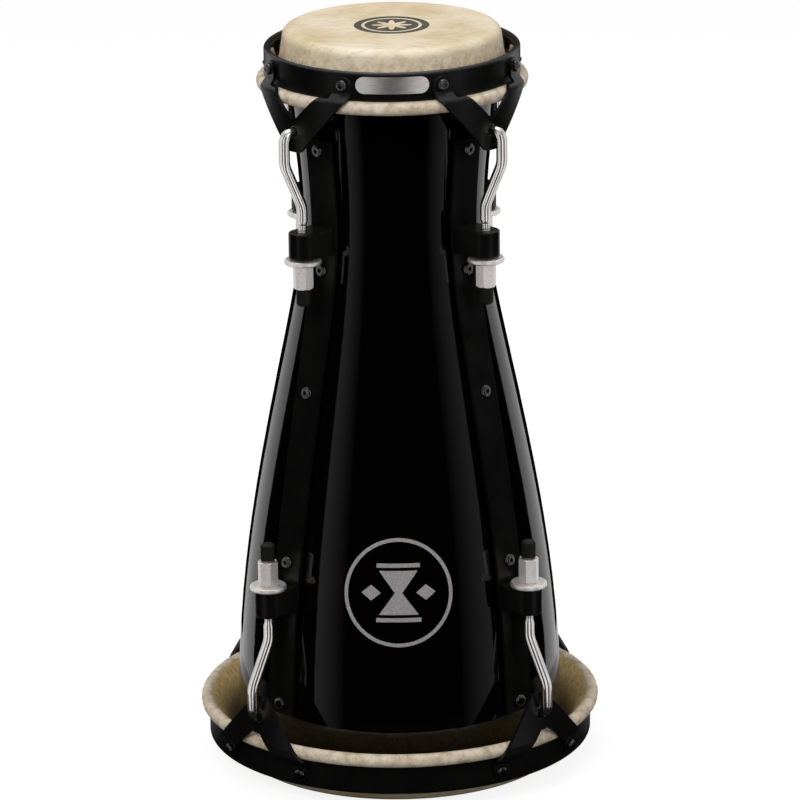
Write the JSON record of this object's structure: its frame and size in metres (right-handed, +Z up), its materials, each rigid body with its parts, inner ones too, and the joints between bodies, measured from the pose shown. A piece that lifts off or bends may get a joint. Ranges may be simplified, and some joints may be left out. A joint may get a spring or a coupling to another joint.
{
  "type": "bata drum",
  "caption": "Two-headed hourglass hand drum: black moulded shell, rawhide heads, steel rims drawn by hooked rods with turning nuts on side plates.",
  "frame": {"origin": "centre of the large head's playing face, which the drum stands on", "axes": "+Z up the drum's axis from the large head to the small head, -Y the front with the badge plate, +X to the right of the front"},
  "size_m": [0.3866, 0.3866, 0.719],
  "materials": {
    "gelcoat": "polished black gelcoat on moulded fibreglass",
    "rawhide": "scraped natural cowhide, dry, slightly mottled",
    "hoop_steel": "plain drawn steel wire",
    "chrome": "polished chrome plate",
    "rubber": "moulded black rubber",
    "blackened_steel": "black-oxide steel, oiled",
    "badge_aluminium": "bare brushed aluminium plate",
    "black_enamel": "black powder coat, semi-gloss"
  },
  "bodies": {
    "shell": {"shell": "gelcoat", "small_skin": "rawhide", "large_skin": "rawhide", "side_plate_1": "black_enamel", "side_plate_2": "black_enamel", "side_plate_3": "black_enamel", "side_plate_4": "black_enamel", "small_bracket_1": "black_enamel", "small_bracket_2": "black_enamel", "small_bracket_3": "black_enamel", "small_bracket_4": "black_enamel", "large_bracket_1": "black_enamel", "large_bracket_2": "black_enamel", "large_bracket_3": "black_enamel", "large_bracket_4": "black_enamel", "small_nut_washers": "chrome", "large_nut_washers": "chrome", "side_plate_screws": "blackened_steel", "side_plate_spacers": "rubber", "side_plate_nuts": "blackened_steel"},
    "small_tuning": {"small_flesh_hoop": "hoop_steel", "small_rim": "black_enamel", "small_claw_1": "black_enamel", "small_claw_2": "black_enamel", "small_claw_3": "black_enamel", "small_claw_4": "black_enamel", "small_tension_rod_1": "chrome", "small_tension_rod_2": "chrome", "small_tension_rod_3": "chrome", "small_tension_rod_4": "chrome", "small_rod_caps": "rubber", "small_rim_bolts": "blackened_steel", "small_rim_nuts": "blackened_steel", "rim_badge": "badge_aluminium"},
    "large_tuning": {"large_flesh_hoop": "hoop_steel", "large_rim": "black_enamel", "large_claw_1": "black_enamel", "large_claw_2": "black_enamel", "large_claw_3": "black_enamel", "large_claw_4": "black_enamel", "large_tension_rod_1": "chrome", "large_tension_rod_2": "chrome", "large_tension_rod_3": "chrome", "large_tension_rod_4": "chrome", "large_rod_caps": "rubber", "large_rim_bolts": "blackened_steel", "large_rim_nuts": "blackened_steel"},
    "small_nut_1": {"small_tuning_nut_1": "chrome"},
    "small_nut_2": {"small_tuning_nut_2": "chrome"},
    "small_nut_3": {"small_tuning_nut_3": "chrome"},
    "small_nut_4": {"small_tuning_nut_4": "chrome"},
    "large_nut_1": {"large_tuning_nut_1": "chrome"},
    "large_nut_2": {"large_tuning_nut_2": "chrome"},
    "large_nut_3": {"large_tuning_nut_3": "chrome"},
    "large_nut_4": {"large_tuning_nut_4": "chrome"}
  },
  "joints": [
    {"name": "small_nut_1_turn", "type": "hinge", "parent": "shell", "child": "small_nut_1", "pos_m": [-0.08554, -0.08554, 0.49955], "axis": [0, 0, 1], "range_deg": [-288, 1152]},
    {"name": "small_nut_2_turn", "type": "hinge", "parent": "shell", "child": "small_nut_2", "pos_m": [0.08554, -0.08554, 0.49955], "axis": [0, 0, 1], "range_deg": [-288, 1152]},
    {"name": "small_nut_3_turn", "type": "hinge", "parent": "shell", "child": "small_nut_3", "pos_m": [0.08554, 0.08554, 0.49955], "axis": [0, 0, 1], "range_deg": [-288, 1152]},
    {"name": "small_nut_4_turn", "type": "hinge", "parent": "shell", "child": "small_nut_4", "pos_m": [-0.08554, 0.08554, 0.49955], "axis": [0, 0, 1], "range_deg": [-288, 1152]},
    {"name": "small_head_draw", "type": "slide", "parent": "shell", "child": "small_tuning", "axis": [0, 0, -1], "range_m": [-0.001, 0.004], "deforming": ["small_skin"]},
    {"name": "large_nut_1_turn", "type": "hinge", "parent": "shell", "child": "large_nut_1", "pos_m": [-0.12306, -0.12306, 0.21945], "axis": [0, 0, -1], "range_deg": [-288, 1152]},
    {"name": "large_nut_2_turn", "type": "hinge", "parent": "shell", "child": "large_nut_2", "pos_m": [0.12306, -0.12306, 0.21945], "axis": [0, 0, -1], "range_deg": [-288, 1152]},
    {"name": "large_nut_3_turn", "type": "hinge", "parent": "shell", "child": "large_nut_3", "pos_m": [0.12306, 0.12306, 0.21945], "axis": [0, 0, -1], "range_deg": [-288, 1152]},
    {"name": "large_nut_4_turn", "type": "hinge", "parent": "shell", "child": "large_nut_4", "pos_m": [-0.12306, 0.12306, 0.21945], "axis": [0, 0, -1], "range_deg": [-288, 1152]},
    {"name": "large_head_draw", "type": "slide", "parent": "shell", "child": "large_tuning", "axis": [0, 0, 1], "range_m": [-0.001, 0.004], "deforming": ["large_skin"]}
  ],
  "couplings": [
    {"joint": "small_nut_1_turn", "follows": "small_head_draw", "rad_per_m": 5026.5},
    {"joint": "small_nut_2_turn", "follows": "small_head_draw", "rad_per_m": 5026.5},
    {"joint": "small_nut_3_turn", "follows": "small_head_draw", "rad_per_m": 5026.5},
    {"joint": "small_nut_4_turn", "follows": "small_head_draw", "rad_per_m": 5026.5},
    {"joint": "large_nut_1_turn", "follows": "large_head_draw", "rad_per_m": 5026.5},
    {"joint": "large_nut_2_turn", "follows": "large_head_draw", "rad_per_m": 5026.5},
    {"joint": "large_nut_3_turn", "follows": "large_head_draw", "rad_per_m": 5026.5},
    {"joint": "large_nut_4_turn", "follows": "large_head_draw", "rad_per_m": 5026.5}
  ]
}
